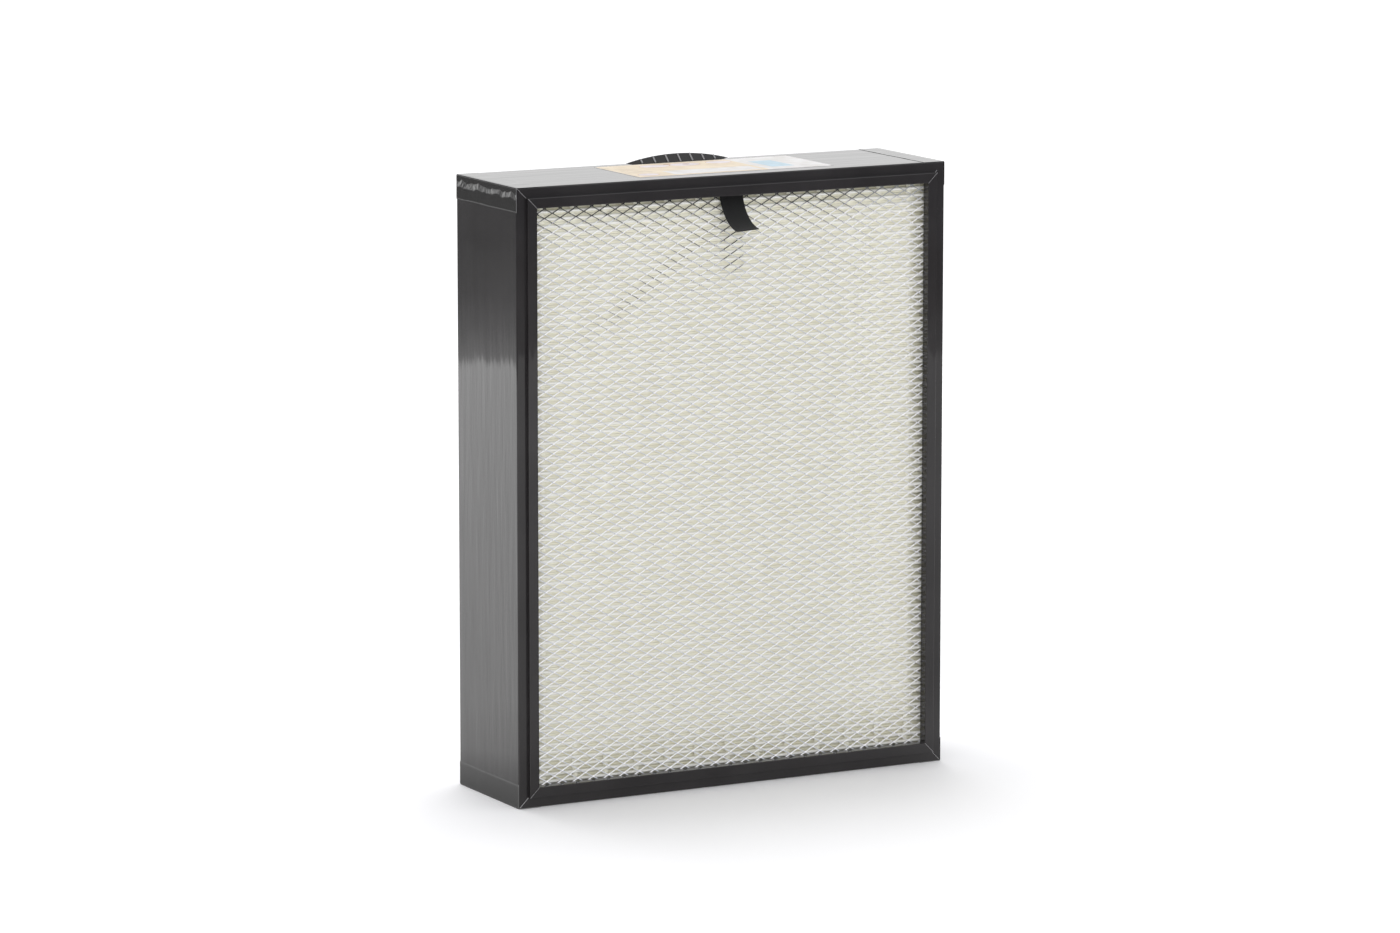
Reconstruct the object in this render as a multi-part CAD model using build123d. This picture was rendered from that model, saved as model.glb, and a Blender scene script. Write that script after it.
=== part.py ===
from build123d import *
import math
import os

# Pleated high-efficiency filter panel that stands upright on its bottom rail.
# X runs along the width, +Y from the front face to the rear, +Z up.
# The origin is in the middle of the bottom, halfway through the depth.

# Outside of the frame
WIDTH = 355.0
HEIGHT = 454.0
DEPTH = 97.0

# Section of the extruded rail
WEB = 2.4
WALL = 2.0
FACE = 15.3
BAND = 7.8
RAISE = 3.2
LIP_DEPTH = 4.0
EDGE_RADIUS = 1.0
BAND_RADIUS = 0.5

# Keys that tie the mitred corners together
KEY_LEG = 32.0
KEY_REST = 0.3

# Face guards of expanded metal, drawn with every sixth strand of the real sheet
GUARD_THICK = 0.8
GUARD_GAP = 0.5
MESH_LONG = 12.7
MESH_SHORT = 7.0
STRAND_COUNT = 6
STRAND = 3.0
GUARD_MARGIN = 2.0

# Adhesive beds round the pleated pack
POT_SIDE = 3.5
POT_END = 2.0

# Pleated media, one sheet folded to and fro
PAPER = 0.5
PLEAT_PITCH = 5.4
FOLD_FLAT = 1.5
PACK_GAP = 0.5

# Sealing strips on the rear flange
SEAL_WIDTH = 10.0
SEAL_THICK = 4.0
SEAL_INSET = 2.6

# Pull tab of woven ribbon under the top rail
TAB_WIDTH = 19.0
TAB_THICK = 0.6
TAB_TUCK = 7.0
TAB_DROP = 0.5
TAB_BEND = 6.0
TAB_LEAVE_ANGLE = 20.0
TAB_CURL = 31.5
TAB_SWEEP_ANGLE = 60.0

# Film tape round the corners
TAPE_THICK = 0.2
TAPE_LEG = 17.8
TAPE_PROUD = 0.8

# Paper label on the top rail
LABEL_WIDTH = 163.0
LABEL_THICK = 0.2
LABEL_SHIFT = 14.0
LABEL_FRONT = 14.5
LABEL_REAR = 10.5

# Ribbed finger grip on the top rail, at the rear edge
GRIP_CHORD = 86.0
GRIP_HEIGHT = 5.5
GRIP_LEAN = 6.0
GRIP_SHIFT = 4.5
RIB_COUNT = 7
RIB_PITCH = 10.2
RIB_WIDTH = 1.6
RIB_PROUD = 0.5

# Planes that the pieces share
FRAME_BOTTOM = TAPE_THICK
FRAME_TOP = FRAME_BOTTOM + HEIGHT
FRONT = -DEPTH / 2
REAR = DEPTH / 2
SIDE = WIDTH / 2
GUARD_FRONT = FRONT + LIP_DEPTH + TAB_THICK
BED_FRONT = GUARD_FRONT + GUARD_THICK
BED_REAR = REAR - LIP_DEPTH - GUARD_THICK
PACK_SIDE = SIDE - WEB - POT_SIDE
PACK_BOTTOM = FRAME_BOTTOM + WEB + POT_END
PACK_TOP = FRAME_TOP - WEB - POT_END
CHAMBER_OUT = BAND + WALL
CHAMBER_IN = FACE - WALL
MIDDLE = FRAME_BOTTOM + HEIGHT / 2


def block(x0, x1, y0, y1, z0, z1):
    """Rectangular solid between two opposite corners."""
    size = Box(x1 - x0, y1 - y0, z1 - z0, align=(Align.MIN, Align.MIN, Align.MIN))
    return Pos(x0, y0, z0) * size


# Frame

def rail_section():
    """Channel section: U is the distance inward from the rail's outer face, V the depth."""
    lip_end = FRONT + LIP_DEPTH
    rear_lip_end = REAR - LIP_DEPTH
    raised = FRONT - RAISE
    outline = Polyline(
        (FACE, lip_end),
        (FACE, raised),
        (BAND, raised),
        (BAND, FRONT),
        (0, FRONT),
        (0, REAR),
        (FACE, REAR),
        (FACE, rear_lip_end),
        (CHAMBER_IN, rear_lip_end),
        (CHAMBER_IN, REAR - WALL),
        (WEB, REAR - WALL),
        (WEB, FRONT + WALL),
        (CHAMBER_OUT, FRONT + WALL),
        (CHAMBER_OUT, raised + WALL),
        (CHAMBER_IN, raised + WALL),
        (CHAMBER_IN, lip_end),
        close=True,
    )
    section = make_face(outline)
    edges = section.vertices().filter_by(lambda v: v.X < WEB / 2)
    section = fillet(edges, EDGE_RADIUS)
    bands = section.vertices().filter_by(
        lambda v: abs(v.Y - raised) < WALL / 4 or (v.X > CHAMBER_IN + WALL / 2 and v.Y > REAR - WALL / 2)
    )
    return fillet(bands, BAND_RADIUS)


def rail(length):
    """Rail along X with its outer face at Z = 0, its depth along Y and both ends mitred inward."""
    plane = Plane(origin=(-length / 2, 0, 0), x_dir=(0, 0, 1), z_dir=(1, 0, 0))
    bar = extrude(plane * (Rot(0, 0, 0) * mirror(rail_section(), about=Plane.XZ)), length)
    for end in (-1, 1):
        cut = Plane(origin=(end * length / 2, 0, 0), z_dir=(end, 0, 1))
        bar = split(bar, bisect_by=cut, keep=Keep.BOTTOM)
    return bar


def frame_rails():
    """Four mitred rails; each is the same section laid round the rectangle."""
    across = rail(WIDTH)
    upright = rail(HEIGHT)
    return {
        "bottom_rail": Pos(0, 0, FRAME_BOTTOM) * across,
        "top_rail": Pos(0, 0, FRAME_TOP) * Rot(0, 180, 0) * across,
        "left_rail": Pos(-SIDE, 0, MIDDLE) * Rot(0, 90, 0) * upright,
        "right_rail": Pos(SIDE, 0, MIDDLE) * Rot(0, -90, 0) * upright,
    }


def corner_keys():
    """L-shaped keys pushed into the hollow behind the raised band, one in each corner."""
    front = FRONT - RAISE + WALL
    rear = FRONT + LIP_DEPTH - KEY_REST
    keys = {}
    for side, sx in (("left", -1), ("right", 1)):
        for level, sz in (("top", 1), ("bottom", -1)):
            ends = [sx * (SIDE - CHAMBER_OUT), sx * (SIDE - CHAMBER_IN), sx * (SIDE - CHAMBER_OUT - KEY_LEG)]
            rows = [
                MIDDLE + sz * (HEIGHT / 2 - CHAMBER_OUT),
                MIDDLE + sz * (HEIGHT / 2 - CHAMBER_IN),
                MIDDLE + sz * (HEIGHT / 2 - CHAMBER_OUT - KEY_LEG),
            ]
            flat = block(min(ends), max(ends), front, rear, min(rows[:2]), max(rows[:2]))
            tall = block(min(ends[:2]), max(ends[:2]), front, rear, min(rows), max(rows))
            keys[f"corner_key_{level}_{side}"] = flat + tall
    return keys


# Filter pack

def face_guard(y_front):
    """Thin sheet with staggered diamond openings inside the frame's window."""
    long_way = MESH_LONG * STRAND_COUNT
    short_way = MESH_SHORT * STRAND_COUNT
    between = long_way * short_way / math.hypot(long_way, short_way)
    share = 1 - STRAND / between
    half_x = share * long_way / 2
    half_z = share * short_way / 2
    diamond = make_face(Polyline((half_x, 0), (0, half_z), (-half_x, 0), (0, -half_z), close=True))
    columns = math.ceil(WIDTH / long_way)
    rows = math.ceil(HEIGHT / short_way)
    spots = [
        (i * long_way / 2, j * short_way / 2)
        for i in range(-columns, columns + 1)
        for j in range(-rows, rows + 1)
        if (i + j) % 2
    ]
    window = Rectangle(WIDTH - 2 * (FACE + GUARD_MARGIN), HEIGHT - 2 * (FACE + GUARD_MARGIN))
    openings = Sketch() + [Pos(x, z) * diamond for x, z in spots]
    sheet = Rectangle(WIDTH - 2 * (WEB + GUARD_GAP), HEIGHT - 2 * (WEB + GUARD_GAP))
    plane = Plane(origin=(0, y_front, MIDDLE), x_dir=(1, 0, 0), z_dir=(0, -1, 0))
    return extrude(plane * (sheet - (openings & window)), -GUARD_THICK)


def adhesive_beds():
    """Adhesive strips that bed the pack's four edges in the rails."""
    inside = SIDE - WEB
    bottom = FRAME_BOTTOM + WEB
    top = FRAME_TOP - WEB
    return {
        "left_adhesive": block(-inside, -PACK_SIDE, BED_FRONT, BED_REAR, bottom, top),
        "right_adhesive": block(PACK_SIDE, inside, BED_FRONT, BED_REAR, bottom, top),
        "bottom_adhesive": block(-PACK_SIDE, PACK_SIDE, BED_FRONT, BED_REAR, bottom, PACK_BOTTOM),
        "top_adhesive": block(-PACK_SIDE, PACK_SIDE, BED_FRONT, BED_REAR, PACK_TOP, top),
    }


def pleat_line():
    """Middle line of the folded sheet as (Y, Z) points, from the bottom bed to the top bed."""
    front = BED_FRONT + PACK_GAP + PAPER / 2
    rear = BED_REAR - PACK_GAP - PAPER / 2
    low = PACK_BOTTOM + PAPER / 2
    high = PACK_TOP - PAPER / 2
    count = round((PACK_TOP - PACK_BOTTOM) / PLEAT_PITCH)
    pitch = (PACK_TOP - PACK_BOTTOM) / count
    points = [(front, low)]
    for fold in range(2 * count - 1):
        y = front if fold % 2 else rear
        z = PACK_BOTTOM + (fold + 1) * pitch / 2
        points.append((y, low if fold == 0 else z - FOLD_FLAT / 2))
        points.append((y, high if fold == 2 * count - 2 else z + FOLD_FLAT / 2))
    points.append((front, high))
    return points


def offset_line(points, distance):
    """Points moved sideways by a distance, with mitred corners."""
    moved = []
    last = len(points) - 1
    for i, (y, z) in enumerate(points):
        y0, z0 = points[max(i - 1, 0)]
        y1, z1 = points[min(i + 1, last)]
        before = Vector(y - y0, z - z0).normalized() if i else Vector(y1 - y, z1 - z).normalized()
        after = Vector(y1 - y, z1 - z).normalized() if i < last else before
        corner = before + after
        stretch = distance * 2 / corner.dot(corner)
        moved.append((y - corner.Y * stretch, z + corner.X * stretch))
    return moved


def media_pack():
    """One sheet of filter paper folded into horizontal pleats."""
    line = pleat_line()
    outline = offset_line(line, PAPER / 2) + offset_line(line, -PAPER / 2)[::-1]
    plane = Plane(origin=(-PACK_SIDE, 0, 0), x_dir=(0, 1, 0), z_dir=(1, 0, 0))
    return extrude(plane * make_face(Polyline(*outline, close=True)), 2 * PACK_SIDE)


# Things fixed to the frame

def rear_seal():
    """Four foam strips on the rear flange, butted at the corners."""
    out_x = SIDE - SEAL_INSET
    in_x = out_x - SEAL_WIDTH
    low = FRAME_BOTTOM + SEAL_INSET
    high = FRAME_TOP - SEAL_INSET
    back = REAR + SEAL_THICK
    return {
        "seal_bottom": block(-out_x, out_x, REAR, back, low, low + SEAL_WIDTH),
        "seal_top": block(-out_x, out_x, REAR, back, high - SEAL_WIDTH, high),
        "seal_left": block(-out_x, -in_x, REAR, back, low + SEAL_WIDTH, high - SEAL_WIDTH),
        "seal_right": block(in_x, out_x, REAR, back, low + SEAL_WIDTH, high - SEAL_WIDTH),
    }


def pull_tab():
    """Ribbon held behind the top rail's lip, hanging down and curling out to the front."""
    y = FRONT + LIP_DEPTH + TAB_THICK / 2
    lip = FRAME_TOP - FACE
    tucked = Line((y, lip + TAB_TUCK), (y, lip - TAB_DROP))
    leave = JernArc(start=tucked @ 1, tangent=(0, -1), radius=TAB_BEND, arc_size=-TAB_LEAVE_ANGLE)
    curl = JernArc(start=leave @ 1, tangent=leave % 1, radius=TAB_CURL, arc_size=-TAB_SWEEP_ANGLE)
    ribbon = trace(Curve() + [tucked, leave, curl], line_width=TAB_THICK)
    plane = Plane(origin=(0, 0, 0), x_dir=(0, 1, 0), z_dir=(1, 0, 0))
    return extrude(plane * ribbon, TAB_WIDTH / 2, both=True)


def corner_tapes():
    """Film tape folded over each corner of the frame, along the whole depth."""
    tapes = {}
    for side, sx in (("left", -1), ("right", 1)):
        for level, sz in (("top", 1), ("bottom", -1)):
            x_out = sx * (SIDE + TAPE_THICK)
            z_out = MIDDLE + sz * (HEIGHT / 2 + TAPE_THICK)
            x_in = sx * SIDE
            z_in = MIDDLE + sz * HEIGHT / 2
            x_end = sx * (SIDE - TAPE_LEG)
            z_end = MIDDLE + sz * (HEIGHT / 2 - TAPE_LEG)
            y0 = FRONT - TAPE_PROUD
            flat = block(min(x_out, x_end), max(x_out, x_end), y0, REAR, min(z_out, z_in), max(z_out, z_in))
            tall = block(min(x_out, x_in), max(x_out, x_in), y0, REAR, min(z_out, z_end), max(z_out, z_end))
            tapes[f"corner_tape_{level}_{side}"] = flat + tall
    return tapes


def top_label():
    """Paper label on the outer face of the top rail."""
    x0 = LABEL_SHIFT - LABEL_WIDTH / 2
    return block(x0, x0 + LABEL_WIDTH, FRONT + LABEL_FRONT, REAR - LABEL_REAR, FRAME_TOP, FRAME_TOP + LABEL_THICK)


def finger_grip():
    """Arched lip on the rear edge of the top rail; its ribbed face leans back to the crest."""
    half = GRIP_CHORD / 2
    slope = math.atan2(GRIP_HEIGHT, GRIP_LEAN)
    ahead = RIB_PROUD / math.sin(slope)
    arc = ThreePointArc((-half, 0), (0, GRIP_HEIGHT), (half, 0))
    arch = make_face(Curve() + [arc, Line((half, 0), (-half, 0))])
    lump = extrude(Plane(origin=(0, 0, 0), x_dir=(1, 0, 0), z_dir=(0, -1, 0)) * arch, GRIP_LEAN + 2 * ahead)
    across = Plane(origin=(0, 0, 0), x_dir=(0, 1, 0), z_dir=(1, 0, 0))
    face = make_face(Polyline((-GRIP_LEAN, 0), (0, GRIP_HEIGHT), (0, 0), close=True))
    ribbed = make_face(
        Polyline((-GRIP_LEAN - ahead, 0), (-ahead, GRIP_HEIGHT), (0, GRIP_HEIGHT), (0, 0), close=True)
    )
    form = extrude(across * face, half, both=True)
    for i in range(RIB_COUNT):
        place = (i - (RIB_COUNT - 1) / 2) * RIB_PITCH
        form += Pos(place, 0, 0) * extrude(across * ribbed, RIB_WIDTH / 2, both=True)
    return Pos(GRIP_SHIFT, REAR, FRAME_TOP) * (lump & form)


def pieces():
    """Every separate piece by its node name."""
    return {
        **frame_rails(),
        **corner_keys(),
        "front_guard": face_guard(GUARD_FRONT),
        "rear_guard": face_guard(BED_REAR),
        "media_pack": media_pack(),
        **adhesive_beds(),
        **rear_seal(),
        "pull_tab": pull_tab(),
        **corner_tapes(),
        "top_label": top_label(),
        "finger_grip": finger_grip(),
    }


os.makedirs("parts", exist_ok=True)
for name, piece in pieces().items():
    export_step(piece, f"parts/{name}.step")
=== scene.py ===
"""Looks of a pleated high-efficiency filter panel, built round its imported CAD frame.

X runs along the width, +Y from the front face to the rear and +Z up, in metres. Every
sub-assembly is a class that holds its sizes, builds its meshes and dresses them.
"""

import logging
import math
from collections.abc import Callable, Sequence
from dataclasses import dataclass
from enum import Enum
from typing import Any

import bmesh
import bpy
from mathutils import Matrix, Vector, noise

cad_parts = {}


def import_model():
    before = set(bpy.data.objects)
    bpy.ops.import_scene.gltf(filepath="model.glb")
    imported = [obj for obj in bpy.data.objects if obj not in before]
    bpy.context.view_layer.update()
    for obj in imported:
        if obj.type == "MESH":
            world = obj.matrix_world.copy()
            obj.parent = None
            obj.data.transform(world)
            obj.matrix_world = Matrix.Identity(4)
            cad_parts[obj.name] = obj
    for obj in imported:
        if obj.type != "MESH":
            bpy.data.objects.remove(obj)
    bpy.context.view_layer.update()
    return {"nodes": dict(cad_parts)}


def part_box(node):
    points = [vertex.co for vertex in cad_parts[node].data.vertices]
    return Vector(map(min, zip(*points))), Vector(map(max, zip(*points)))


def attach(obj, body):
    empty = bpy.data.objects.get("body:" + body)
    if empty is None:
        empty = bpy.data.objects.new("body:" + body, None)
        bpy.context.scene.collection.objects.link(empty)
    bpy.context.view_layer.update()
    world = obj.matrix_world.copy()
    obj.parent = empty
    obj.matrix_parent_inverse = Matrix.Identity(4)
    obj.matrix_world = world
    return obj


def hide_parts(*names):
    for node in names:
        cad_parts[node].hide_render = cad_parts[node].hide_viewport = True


LOG = logging.getLogger("filter_panel")
MM = 0.001
MERGE = 0.01 * MM
WHITE = (1.0, 1.0, 1.0, 1.0)
BLACK = (0.0, 0.0, 0.0, 1.0)

Colour = tuple[float, float, float, float]


class Axis(Enum):
    """Direction that an extruded or ribbed surface's lines follow."""

    ALONG_X = (0.03, 1.0, 1.0)
    ALONG_Z = (1.0, 1.0, 0.03)


class Hold(Enum):
    HUNG = "hung"


# Material helpers


def linear(code: str) -> Colour:
    """Turns an sRGB hex code into linear colour.

    Args:
        code: Six hex digits, with or without a leading hash.

    Returns:
        Linear red, green, blue and an alpha of one.
    """
    digits = code.lstrip("#")
    parts = [int(digits[i : i + 2], 16) / 255 for i in (0, 2, 4)]
    red, green, blue = (p / 12.92 if p <= 0.04045 else ((p + 0.055) / 1.055) ** 2.4 for p in parts)
    return red, green, blue, 1.0


def add_node(
    tree: bpy.types.NodeTree,
    kind: str,
    settings: dict[str, Any] | None = None,
    links: dict[str | int, bpy.types.NodeSocket] | None = None,
) -> bpy.types.Node:
    """Adds a node with its settings and links.

    Args:
        tree: Node tree that takes the node.
        kind: Blender's name of the node type.
        settings: Values by attribute name, or by input name or number where no attribute has it.
        links: Sockets of other nodes by input name or number.

    Returns:
        The new node.
    """
    node = tree.nodes.new(kind)
    for key, value in (settings or {}).items():
        if isinstance(key, str) and hasattr(node, key):
            setattr(node, key, value)
        else:
            node.inputs[key].default_value = value
    for key, socket in (links or {}).items():
        tree.links.new(socket, node.inputs[key])
    return node


def set_ramp(node: bpy.types.Node, stops: Sequence[tuple[float, str]]) -> None:
    """Gives a colour ramp its stops.

    Args:
        node: Colour ramp node.
        stops: Positions from zero to one, each with its sRGB hex code.
    """
    ramp = node.color_ramp
    while len(ramp.elements) < len(stops):
        ramp.elements.new(0.5)
    for element, (place, code) in zip(ramp.elements, stops):
        element.position = place
        element.color = linear(code)


@dataclass(frozen=True)
class Finish:
    """A surface finish; each kind wires its own nodes to one shader."""

    name: str
    slot: str
    colour: str
    roughness: float = 0.5
    ior: float = 1.5

    def wire(self, tree: bpy.types.NodeTree, shader: bpy.types.Node) -> None:
        """Adds the finish's own pattern; the plain finish has none."""

    def material(self) -> bpy.types.Material:
        """Builds the finish once and gives the same material afterwards.

        Returns:
            The finished material.
        """
        found = bpy.data.materials.get(self.name)
        if found:
            return found
        made = bpy.data.materials.new(self.name)
        made.use_nodes = True
        tree = made.node_tree
        shader = tree.nodes["Principled BSDF"]
        shader.inputs["Base Color"].default_value = linear(self.colour)
        shader.inputs["Roughness"].default_value = self.roughness
        shader.inputs["IOR"].default_value = self.ior
        self.wire(tree, shader)
        return made


def stretched(tree: bpy.types.NodeTree, stretch: tuple[float, float, float]) -> bpy.types.NodeSocket:
    """Object coordinates drawn out along one direction.

    Args:
        tree: Node tree of the material.
        stretch: Scale of each axis; a small one draws the pattern out along it.

    Returns:
        Socket with the coordinates.
    """
    place = add_node(tree, "ShaderNodeTexCoord")
    mapping = add_node(tree, "ShaderNodeMapping", {"Scale": stretch}, {"Vector": place.outputs["Object"]})
    return mapping.outputs["Vector"]


@dataclass(frozen=True)
class SatinExtrusion(Finish):
    """Extruded black PVC: fine die lines run along the rail and the sheen wavers across them."""

    lines: Axis = Axis.ALONG_X
    line_pitch: float = 1.6 * MM
    line_lift: float = 0.06 * MM
    wave_width: float = 9 * MM
    wave_lift: float = 0.35 * MM
    rub_width: float = 60 * MM
    rubbed: str = "2e2c2d"

    def wire(self, tree: bpy.types.NodeTree, shader: bpy.types.Node) -> None:
        """Die lines in the bump, a slow waver, and faint rubbed patches in the roughness and the colour.

        Args:
            tree: Node tree of the material.
            shader: Its shader.
        """
        die = add_node(
            tree,
            "ShaderNodeTexNoise",
            {"Scale": 1 / self.line_pitch, "Detail": 3.0, "Roughness": 0.6},
            {"Vector": stretched(tree, self.lines.value)},
        )
        sway = stretched(tree, tuple(0.1 if share < 1 else 1.0 for share in self.lines.value))
        wave = add_node(
            tree, "ShaderNodeTexNoise", {"Scale": 1 / self.wave_width, "Detail": 2.0}, {"Vector": sway}
        )
        first = add_node(
            tree, "ShaderNodeBump", {"Strength": 0.3, "Distance": self.line_lift}, {"Height": die.outputs["Fac"]}
        )
        second = add_node(
            tree,
            "ShaderNodeBump",
            {"Strength": 0.5, "Distance": self.wave_lift},
            {"Height": wave.outputs["Fac"], "Normal": first.outputs["Normal"]},
        )
        tree.links.new(second.outputs["Normal"], shader.inputs["Normal"])
        place = add_node(tree, "ShaderNodeTexCoord")
        rub = add_node(
            tree,
            "ShaderNodeTexNoise",
            {"Scale": 1 / self.rub_width, "Detail": 4.0},
            {"Vector": place.outputs["Object"]},
        )
        spread = add_node(
            tree,
            "ShaderNodeMapRange",
            {"To Min": self.roughness * 0.85, "To Max": self.roughness * 1.2},
            {"Value": rub.outputs["Fac"]},
        )
        tree.links.new(spread.outputs["Result"], shader.inputs["Roughness"])
        shade = add_node(tree, "ShaderNodeValToRGB", links={"Fac": rub.outputs["Fac"]})
        set_ramp(shade, [(0.35, self.colour), (0.75, self.rubbed)])
        tree.links.new(shade.outputs["Color"], shader.inputs["Base Color"])


@dataclass(frozen=True)
class FilmTape(Finish):
    """Black polypropylene film tape: a thin glossy skin with shallow wrinkles from folding."""

    crease_width: float = 11 * MM
    crease_lift: float = 0.3 * MM
    fold_low: float = 449.8 * MM
    fold_high: float = 454.5 * MM
    fold_width: float = 19 * MM
    fold_wave: float = 9.0 * MM
    fold_lift: float = 3.0 * MM

    def wire(self, tree: bpy.types.NodeTree, shader: bpy.types.Node) -> None:
        """Shallow creases all over in the bump, and one bright wandering fold below the top edge.

        Args:
            tree: Node tree of the material.
            shader: Its shader.
        """
        place = add_node(tree, "ShaderNodeTexCoord")
        crease = add_node(
            tree,
            "ShaderNodeTexNoise",
            {"Scale": 1 / self.crease_width, "Detail": 2.0, "Distortion": 1.2},
            {"Vector": place.outputs["Object"]},
        )
        bump = add_node(
            tree,
            "ShaderNodeBump",
            {"Strength": 0.35, "Distance": self.crease_lift},
            {"Height": crease.outputs["Fac"]},
        )
        split = add_node(tree, "ShaderNodeSeparateXYZ", links={"Vector": place.outputs["Object"]})
        waves = add_node(
            tree,
            "ShaderNodeTexNoise",
            {"Scale": 1 / self.fold_width, "Detail": 3.0, "Roughness": 0.55, "Distortion": 0.6},
            {"Vector": stretched(tree, (0.0, 1.0, 1.0))},
        )
        level = add_node(
            tree,
            "ShaderNodeMath",
            {"operation": "MULTIPLY_ADD", 1: self.fold_wave},
            {0: waves.outputs["Fac"], 2: split.outputs["Z"]},
        )
        bulge = add_node(
            tree,
            "ShaderNodeMapRange",
            {
                "interpolation_type": "SMOOTHSTEP",
                "From Min": self.fold_low,
                "From Max": self.fold_high,
                "To Min": 1.0,
                "To Max": 0.0,
            },
            {"Value": level.outputs["Value"]},
        )
        fold = add_node(
            tree,
            "ShaderNodeBump",
            {"Strength": 1.0, "Distance": self.fold_lift},
            {"Height": bulge.outputs["Result"], "Normal": bump.outputs["Normal"]},
        )
        tree.links.new(fold.outputs["Normal"], shader.inputs["Normal"])


@dataclass(frozen=True)
class ExpandedAluminium(Finish):
    """Slit and drawn aluminium sheet: bright metal, with painted light that whitens it by one edge and painted shade
    below the top rail.
    """

    painted_light_from: float = 85 * MM
    painted_light_to: float = 145 * MM
    painted_light_metallic: float = 0.15
    painted_shade_from: float = 421 * MM
    painted_shade_to: float = 436 * MM
    shaded: str = "b4b7ba"
    grain: float = 3 * MM

    def wire(self, tree: bpy.types.NodeTree, shader: bpy.types.Node) -> None:
        """Less metallic towards the right edge, a painted light that keeps the strands white there; darker at the top
        rows, a painted shade under the rail's lip; and unevenly rough all over.

        Args:
            tree: Node tree of the material.
            shader: Its shader.
        """
        place = add_node(tree, "ShaderNodeTexCoord")
        split = add_node(tree, "ShaderNodeSeparateXYZ", links={"Vector": place.outputs["Object"]})
        # Painted light: the metal turns less metallic towards the right edge, so the strands there show white
        painted_light_node = add_node(
            tree,
            "ShaderNodeMapRange",
            {"From Min": self.painted_light_from, "From Max": self.painted_light_to, "To Min": 1.0, "To Max": self.painted_light_metallic},
            {"Value": split.outputs["X"]},
        )
        tree.links.new(painted_light_node.outputs["Result"], shader.inputs["Metallic"])
        # Painted shade: the colour darkens over the top rows, under the rail's lip
        level = add_node(
            tree,
            "ShaderNodeMapRange",
            {"From Min": self.painted_shade_from, "From Max": self.painted_shade_to},
            {"Value": split.outputs["Z"]},
        )
        shade = add_node(tree, "ShaderNodeValToRGB", links={"Fac": level.outputs["Result"]})
        set_ramp(shade, [(0.0, self.colour), (1.0, self.shaded)])
        tree.links.new(shade.outputs["Color"], shader.inputs["Base Color"])
        mill = add_node(
            tree, "ShaderNodeTexNoise", {"Scale": 1 / self.grain, "Detail": 2.0}, {"Vector": place.outputs["Object"]}
        )
        spread = add_node(
            tree,
            "ShaderNodeMapRange",
            {"To Min": self.roughness * 0.7, "To Max": self.roughness * 1.3},
            {"Value": mill.outputs["Fac"]},
        )
        tree.links.new(spread.outputs["Result"], shader.inputs["Roughness"])


@dataclass(frozen=True)
class GlassPaper(Finish):
    """Wet-laid glass-fibre paper: matt warm white, with painted shade that yellows it slightly inside the folds."""

    fold_shade_colour: str = "e0decf"
    front: float = -41.7 * MM
    depth: float = 0.8 * MM
    cloud_width: float = 14 * MM
    tooth: float = 0.7 * MM
    tooth_lift: float = 0.1 * MM

    def wire(self, tree: bpy.types.NodeTree, shader: bpy.types.Node) -> None:
        """Fibre clouds in the colour, a warmer tone with depth as painted shade of the folds, and a fine tooth in the
        bump.

        Args:
            tree: Node tree of the material.
            shader: Its shader.
        """
        place = add_node(tree, "ShaderNodeTexCoord")
        split = add_node(tree, "ShaderNodeSeparateXYZ", links={"Vector": place.outputs["Object"]})
        inward = add_node(
            tree,
            "ShaderNodeMapRange",
            {"From Min": self.front, "From Max": self.front + self.depth},
            {"Value": split.outputs["Y"]},
        )
        outward = add_node(
            tree,
            "ShaderNodeMapRange",
            {"From Min": -self.front, "From Max": -self.front - self.depth},
            {"Value": split.outputs["Y"]},
        )
        deep = add_node(
            tree,
            "ShaderNodeMath",
            {"operation": "MINIMUM"},
            {0: inward.outputs["Result"], 1: outward.outputs["Result"]},
        )
        # Painted shade: the paper turns yellower and a touch darker deeper in the folds
        tone = add_node(tree, "ShaderNodeValToRGB", links={"Fac": deep.outputs["Value"]})
        set_ramp(tone, [(0.0, self.colour), (1.0, self.fold_shade_colour)])
        cloud = add_node(
            tree,
            "ShaderNodeTexNoise",
            {"Scale": 1 / self.cloud_width, "Detail": 4.0},
            {"Vector": place.outputs["Object"]},
        )
        shade = add_node(tree, "ShaderNodeValToRGB", links={"Fac": cloud.outputs["Fac"]})
        set_ramp(shade, [(0.3, "f8f7f3"), (0.7, "ffffff")])
        mixed = add_node(
            tree,
            "ShaderNodeMix",
            {"data_type": "RGBA", "blend_type": "MULTIPLY", "factor_mode": "UNIFORM", 0: 1.0},
            {6: tone.outputs["Color"], 7: shade.outputs["Color"]},
        )
        tree.links.new(mixed.outputs[2], shader.inputs["Base Color"])
        fibre = add_node(
            tree, "ShaderNodeTexNoise", {"Scale": 1 / self.tooth, "Detail": 3.0}, {"Vector": place.outputs["Object"]}
        )
        bump = add_node(
            tree, "ShaderNodeBump", {"Strength": 0.3, "Distance": self.tooth_lift}, {"Height": fibre.outputs["Fac"]}
        )
        tree.links.new(bump.outputs["Normal"], shader.inputs["Normal"])


@dataclass(frozen=True)
class HotMelt(Finish):
    """Hot-melt spacer beads: milky, slightly glossy drops that blend into the paper."""

    lump: float = 2.5 * MM
    lump_lift: float = 0.3 * MM

    def wire(self, tree: bpy.types.NodeTree, shader: bpy.types.Node) -> None:
        """Slow lumps in the bump.

        Args:
            tree: Node tree of the material.
            shader: Its shader.
        """
        place = add_node(tree, "ShaderNodeTexCoord")
        slow = add_node(tree, "ShaderNodeTexNoise", {"Scale": 1 / self.lump}, {"Vector": place.outputs["Object"]})
        bump = add_node(
            tree, "ShaderNodeBump", {"Strength": 0.3, "Distance": self.lump_lift}, {"Height": slow.outputs["Fac"]}
        )
        tree.links.new(bump.outputs["Normal"], shader.inputs["Normal"])


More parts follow.
